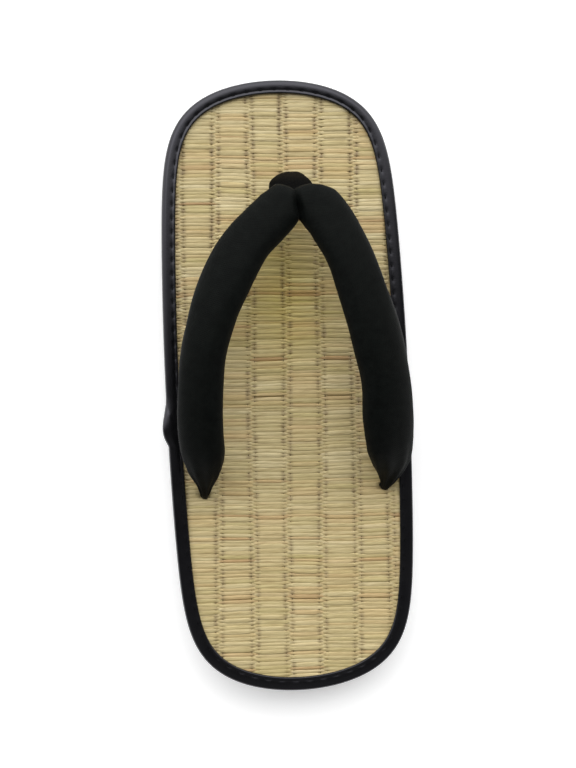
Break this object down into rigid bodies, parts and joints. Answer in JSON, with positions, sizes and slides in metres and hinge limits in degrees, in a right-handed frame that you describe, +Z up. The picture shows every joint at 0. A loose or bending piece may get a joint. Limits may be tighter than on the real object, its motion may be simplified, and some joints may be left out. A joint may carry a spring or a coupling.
{
  "type": "zori thong sandal",
  "caption": "Flat oval thong sandal with a rush mat footbed, a sewn black edge binding and a stuffed cloth strap that forks from a toe post to the sides.",
  "frame": {"origin": "middle of the sole's flat underside, on the floor", "axes": "+Z up, +Y along the sandal towards the toe, +X to the wearer's right"},
  "size_m": [0.1082, 0.265, 0.0575],
  "materials": {
    "foam": "matte closed-cell foam",
    "rush": "woven dry rush stems, satin",
    "vinyl": "smooth synthetic leather, soft gloss",
    "cotton": "plain cotton cloth, matte"
  },
  "bodies": {
    "root": {"sole": "foam", "footbed": "rush", "binding": "vinyl", "strap": "cotton", "toe_post": "cotton"}
  },
  "joints": []
}
